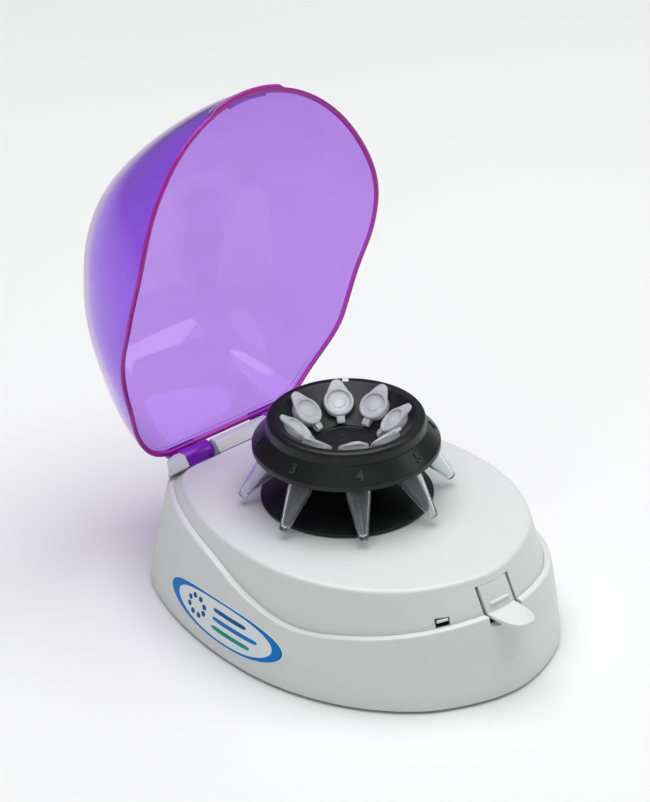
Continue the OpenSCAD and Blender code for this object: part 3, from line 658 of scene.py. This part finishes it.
skirt = lathe("rotor_dish", fillet([(2.5, 54, 0), (14, 53.4, 1), (30, 52.4, 2), (36.6, 51.5, 1), (37.25, 51.6, 0.3),
                                    (37.25, 52.6, 0.4), (30, 55.2, 6), (20, 58.6, 6), (12, 61.6, 2),
                                    (10, 62.4, 0.4), (2.5, 62.4, 0)], 6),
              M["rotor"], 224)
keep(skirt, "rotor", "rotor_black", "rotor_skirt")

# One tube, copied to the eight places
body = lathe("tube_wall", fillet([
    (0, 2, 0), (3.9, 2, 0.4), (4.4, 1.2, 0.4), (4.4, -1.5, 1), (4.35, -18, 2), (1.3, -34.9, 1.2), (0, -35.7, 0),
    (0, -TIP_L, 0), (1.9, -TIP_L, 1.4), (TUBE_R - 0.1, -18.6, 3), (TUBE_R, -1.2, 0.3), (TUBE_R + 0.5, -0.9, 0.3),
    (TUBE_R + 0.5, 0, 0.2), (CAP_R - 0.2, 0, 0.2), (CAP_R - 0.1, 1.6, 0.1), (CAP_R, 1.9, 0.2), (CAP_R, 3.6, 0.5),
    (5.2, 3.6, 0.3), (4.9, 2.9, 0.3),
    (2.9, 2.9, 0.2), (2.7, 3.15, 0.2), (0, 3.15, 0)], 4), [M["tube"], M["cap"]], 96)
for f in body.data.polygons:
    f.material_index = 1 if f.center.z > -1.1 * MM and f.center.xy.length > 2 * MM or f.center.z > 1.9 * MM else 0
tangent = math.acos((CAP_R - TAB_R) / (TAB_TIP - TAB_R))
tab_plan = [(TAB_TIP - TAB_R + TAB_R * math.cos(i * tangent / 8), TAB_R * math.sin(i * tangent / 8))
            for i in range(-8, 9)]
inner = [(CAP_R * 0.97 * math.cos(tangent * k / 6), CAP_R * 0.97 * math.sin(tangent * k / 6)) for k in range(6, -7, -1)]
tab = prism("tube_tab", tab_plan + inner, 1.2, M["cap"], Matrix.Translation((0, 0, 2.15)), 0.25)
strap_outer = [(-CAP_R + 0.3, 2.9), (-CAP_R - 1.6, 2.8), (-CAP_R - 2.9, 2.3), (-CAP_R - 3.2, 1.5), (-CAP_R - 2.9, 0.8),
              (-CAP_R - 1.6, 0.45), (-CAP_R + 0.5, 0.45)]
strap_inner = [(-CAP_R + 0.5, 0.9), (-CAP_R - 1.5, 0.9), (-CAP_R - 2.5, 1.15), (-CAP_R - 2.7, 1.5), (-CAP_R - 2.5, 2.0),
               (-CAP_R - 1.5, 2.35), (-CAP_R + 0.3, 2.4)]
strap_turn = Matrix(((1, 0, 0, 0), (0, 0, -1, 1.7), (0, 1, 0, 0), (0, 0, 0, 1)))
strap = prism("tube_strap", strap_outer + strap_inner, 3.4, M["cap"], strap_turn, 0.12)
tube = join("tube", [body, tab, strap])
for i in range(PLACES):
    me = tube.data.copy()
    me.transform(Matrix.Scale(MM, 4) @ tube_place(i) @ Matrix.Scale(1 / MM, 4))
    o = bpy.data.objects.new("micro_tube_%d" % (i + 1), me)
    scene.collection.objects.link(o)
    keep(o, "rotor", "tube_natural", "tube_%d" % (i + 1))
bpy.data.objects.remove(tube)


# ---------------------------------------------------------------- flank badge
T_MID, T_HALF, BADGE_Z, BADGE_H = -96.6, 21.5, 16.75, 10.4


def badge_pt(u, v, lift):
    t = rad(T_MID + T_HALF * u)
    return wall_pt(t, BADGE_Z + BADGE_H * v, lift)


def badge_patch(name, outer, inner, lo, hi, mats, n=160, rings=10):
    """A patch of the badge between two closed curves of (u, v), from one height to another."""
    verts, faces = [], []
    levels = [(0.0, lo), (0.0, hi - 0.06), (0.012, hi)] + [(k / rings, hi) for k in range(1, rings)] \
        + [(0.988, hi), (1.0, hi - 0.06), (1.0, lo)]
    for i in range(n):
        a = 2 * math.pi * i / n
        (u0, v0), (u1, v1) = outer(a), inner(a)
        verts += [badge_pt(u0 + (u1 - u0) * k, v0 + (v1 - v0) * k, z) for k, z in levels]
    return solid(name, verts, loft_faces(n, len(levels)), mats, 50)


def oval(su, sv, du=0.0, dv=0.0):
    return lambda a: (du + su * math.cos(a), dv + sv * math.sin(a))


plate = badge_patch("badge_plate", oval(1, 1), oval(0.01, 0.01), 0.03, 0.3, M["pale"], rings=14)
ring = badge_patch("badge_ring", oval(0.975, 0.95), oval(0.81, 0.87), 0.26, 0.36, M["blue"])
line = badge_patch("badge_line", oval(0.978, 0.953), oval(0.955, 0.94), 0.33, 0.38, M["deep"])
pieces = [plate, ring, line]
for i in range(8):
    a = 2 * math.pi * (i + 0.5) / 8
    u, v = -0.44 + 0.14 * math.cos(a), 0.42 * math.sin(a)
    pieces.append(badge_patch("badge_dot", oval(0.034, 0.13, u, v), oval(0.001, 0.004, u, v), 0.26, 0.36,
                              M["deep"], 24, 2))
for v, u0, u1, color in ((0.42, -0.16, 0.34, "deep"), (0.0, -0.16, 0.56, "blue"), (-0.42, -0.16, 0.44, "cyan")):
    mid, half = (u0 + u1) / 2, (u1 - u0) / 2

    def pill(a, mid=mid, half=half, v=v, s=1.0):
        c, q = math.cos(a), math.sin(a)
        return (mid + s * half * math.copysign(abs(c) ** 0.35, c), v + s * 0.1 * math.copysign(abs(q) ** 0.6, q))
    pieces.append(badge_patch("badge_bar", pill, lambda a, pill=pill: pill(a, s=0.02), 0.26, 0.36, M[color], 48, 2))
keep(join("badge", pieces), "base", "badge_print", "flank_badge")


# ---------------------------------------------------------------- switch plunger
bar = rod("plunger_bar", 0.8, 5.2, M["white"], window_place() @ Matrix.Translation((-2.6, 0.75, 2.75)) @ Matrix.Rotation(rad(90), 4, "Y"),
          ends=0.3)
stem = block("plunger_stem", (-2.4, 0.9, 2.1), (2.4, 12.4, 3.4), M["white"], window_place(), 0.2)
keep(join("plunger", [bar, stem]), "plunger", "white_shell", "switch_plunger")


# ---------------------------------------------------------------- looks of the nodes that stay as they are
CAD_LOOKS = {
    "base_plate": "grey", "rubber_feet": "rubber", "housing_screws": "steel", "hinge_pins": "steel", "power_inlet": "black",
    "inlet_contact": "steel", "inlet_nut": "steel", "rocker_frame": "black", "rocker_button": "black", "lid_switch": "black",
    "motor_can": "steel", "motor_cap": "grey", "motor_magnets": "magnet", "upper_bearing": "bronze",
    "lower_bearing": "bronze", "motor_shaft": "steel", "motor_armature": "copper", "motor_bracket": "steel",
    "damper_rings": "rubber", "bracket_screws": "steel", "control_board": "board", "board_parts": "black",
    "board_screws": "steel", "wiring": "lead"}
for node, look in CAD_LOOKS.items():
    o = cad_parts[node]
    o.data.materials.clear()
    o.data.materials.append(M[look])


# ---------------------------------------------------------------- floor, light and camera
floor_look = material("studio_floor", (0.86, 0.86, 0.865), 0.7, vary=0.004, scale=3, grain=40, bump=0.01)
floor = solid("floor", [(-6000, -6000, -1.02), (6000, -6000, -1.02), (6000, 6000, -1.02), (-6000, 6000, -1.02)], [(0, 1, 2, 3)], floor_look)
world = bpy.data.worlds.new("studio")
scene.world = world
world.use_nodes = True
world.node_tree.nodes["Background"].inputs["Color"].default_value = (0.97, 1, 0.99, 1)
world.node_tree.nodes["Background"].inputs["Strength"].default_value = 0.2


def lamp(name, where, target, size, power):
    data = bpy.data.lights.new(name, "AREA")
    data.shape, data.size, data.energy = "DISK", size, power
    o = bpy.data.objects.new(name, data)
    o.location = Vector(where)
    o.rotation_euler = (Vector(target) - Vector(where)).to_track_quat("-Z", "Y").to_euler()
    scene.collection.objects.link(o)
    return o


lamp("top", (0.1, 0.05, 1.7), (0, 0, 0.05), 2.1, 34)
lamp("key", (1.0, -0.8, 0.8), (0, 0, 0.05), 0.5, 1.8)
lamp("side", (-1.3, -0.9, 0.7), (0, 0, 0.06), 0.9, 1.6)

azimuth, climb, distance, roll = rad(-41.93), rad(30.2), 1.6538, rad(-1.21)
toward = Vector((math.sin(azimuth) * math.cos(climb), -math.cos(azimuth) * math.cos(climb), math.sin(climb)))
right0 = Vector((math.cos(azimuth), math.sin(azimuth), 0))
up0 = right0.cross(-toward)
middle = Vector((0, 0, 0.0552))
eye = middle + toward * distance
aim = middle - 0.008832 * right0 + 0.036598 * up0
ahead = (aim - eye).normalized()
right1 = ahead.cross(Vector((0, 0, 1))).normalized()
up1 = right1.cross(ahead)
right2 = math.cos(roll) * right1 + math.sin(roll) * up1
up2 = -math.sin(roll) * right1 + math.cos(roll) * up1
camera_data = bpy.data.cameras.new("camera")
camera_data.lens, camera_data.sensor_width, camera_data.clip_end = 172.93, 36, 50
camera = bpy.data.objects.new("camera", camera_data)
camera.matrix_world = Matrix.Translation(eye) @ Matrix((right2, up2, -ahead)).transposed().to_4x4()
scene.collection.objects.link(camera)
scene.camera = camera
